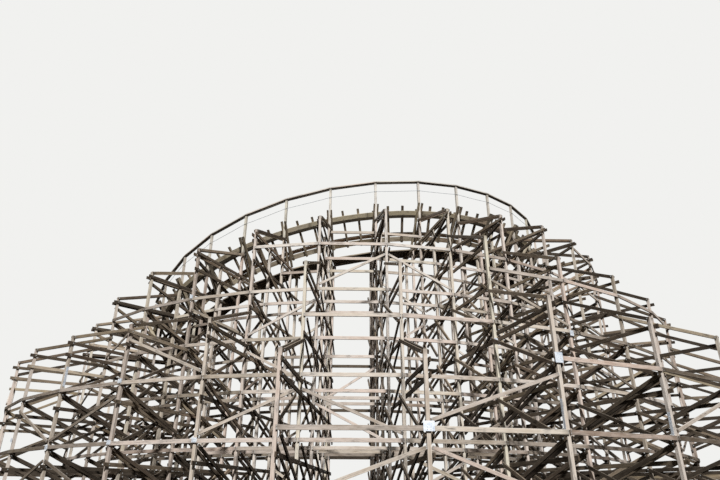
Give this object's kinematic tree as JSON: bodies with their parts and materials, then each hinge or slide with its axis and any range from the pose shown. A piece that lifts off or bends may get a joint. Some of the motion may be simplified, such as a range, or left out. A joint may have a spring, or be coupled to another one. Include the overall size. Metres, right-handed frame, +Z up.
{
  "type": "timber roller coaster turn, 1:2 scale model",
  "caption": "Banked wooden roller coaster turn on a curved fan of braced timber bents, with deck, rails and outer handrail; 1:2 scale model.",
  "frame": {"origin": "bottom centre of the bounding box, on the ground under the footings", "axes": "+X along the turn's width to the right as seen from outside, +Y inward towards the centre of the turn, +Z up"},
  "size_m": [25.2944, 12.145, 11.1715],
  "materials": {
    "concrete": null,
    "steel": "galvanised, dull",
    "rail_wood": "oiled laminated planks",
    "track_wood": "weathered planks",
    "rail_post_wood": "sun-bleached, old pale paint",
    "frame_wood": "weathered, sun-bleached"
  },
  "bodies": {
    "root": {"footings": "concrete", "bent_01_posts": "frame_wood", "bent_02_posts": "frame_wood", "bent_03_posts": "frame_wood", "bent_04_posts": "frame_wood", "bent_05_posts": "frame_wood", "bent_06_posts": "frame_wood", "bent_07_posts": "frame_wood", "bent_08_posts": "frame_wood", "bent_09_posts": "frame_wood", "bent_10_posts": "frame_wood", "bent_11_posts": "frame_wood", "bent_12_posts": "frame_wood", "bent_13_posts": "frame_wood", "bent_14_posts": "frame_wood", "bent_01_bracing": "frame_wood", "bent_02_bracing": "frame_wood", "bent_03_bracing": "frame_wood", "bent_04_bracing": "frame_wood", "bent_05_bracing": "frame_wood", "bent_06_bracing": "frame_wood", "bent_07_bracing": "frame_wood", "bent_08_bracing": "frame_wood", "bent_09_bracing": "frame_wood", "bent_10_bracing": "frame_wood", "bent_11_bracing": "frame_wood", "bent_12_bracing": "frame_wood", "bent_13_bracing": "frame_wood", "bent_14_bracing": "frame_wood", "ring_ledgers_inner": "frame_wood", "ring_ledgers_track": "frame_wood", "ring_ledgers_middle": "frame_wood", "ring_ledgers_tier_1": "frame_wood", "ring_ledgers_tier_2": "frame_wood", "ring_ledgers_tier_3": "frame_wood", "ring_braces_track": "frame_wood", "ring_braces_tier_1": "frame_wood", "ring_braces_tier_2": "frame_wood", "ring_braces_tier_3": "frame_wood", "deck_caps": "frame_wood", "bank_timbers": "track_wood", "stringer": "track_wood", "ties": "track_wood", "rail_stacks": "rail_wood", "rail_top_planks": "rail_wood", "running_strips": "steel", "guard_boards": "track_wood", "deck": "track_wood", "handrail_posts": "rail_post_wood", "handrail": "rail_post_wood", "rail_wire": "steel"}
  },
  "joints": []
}
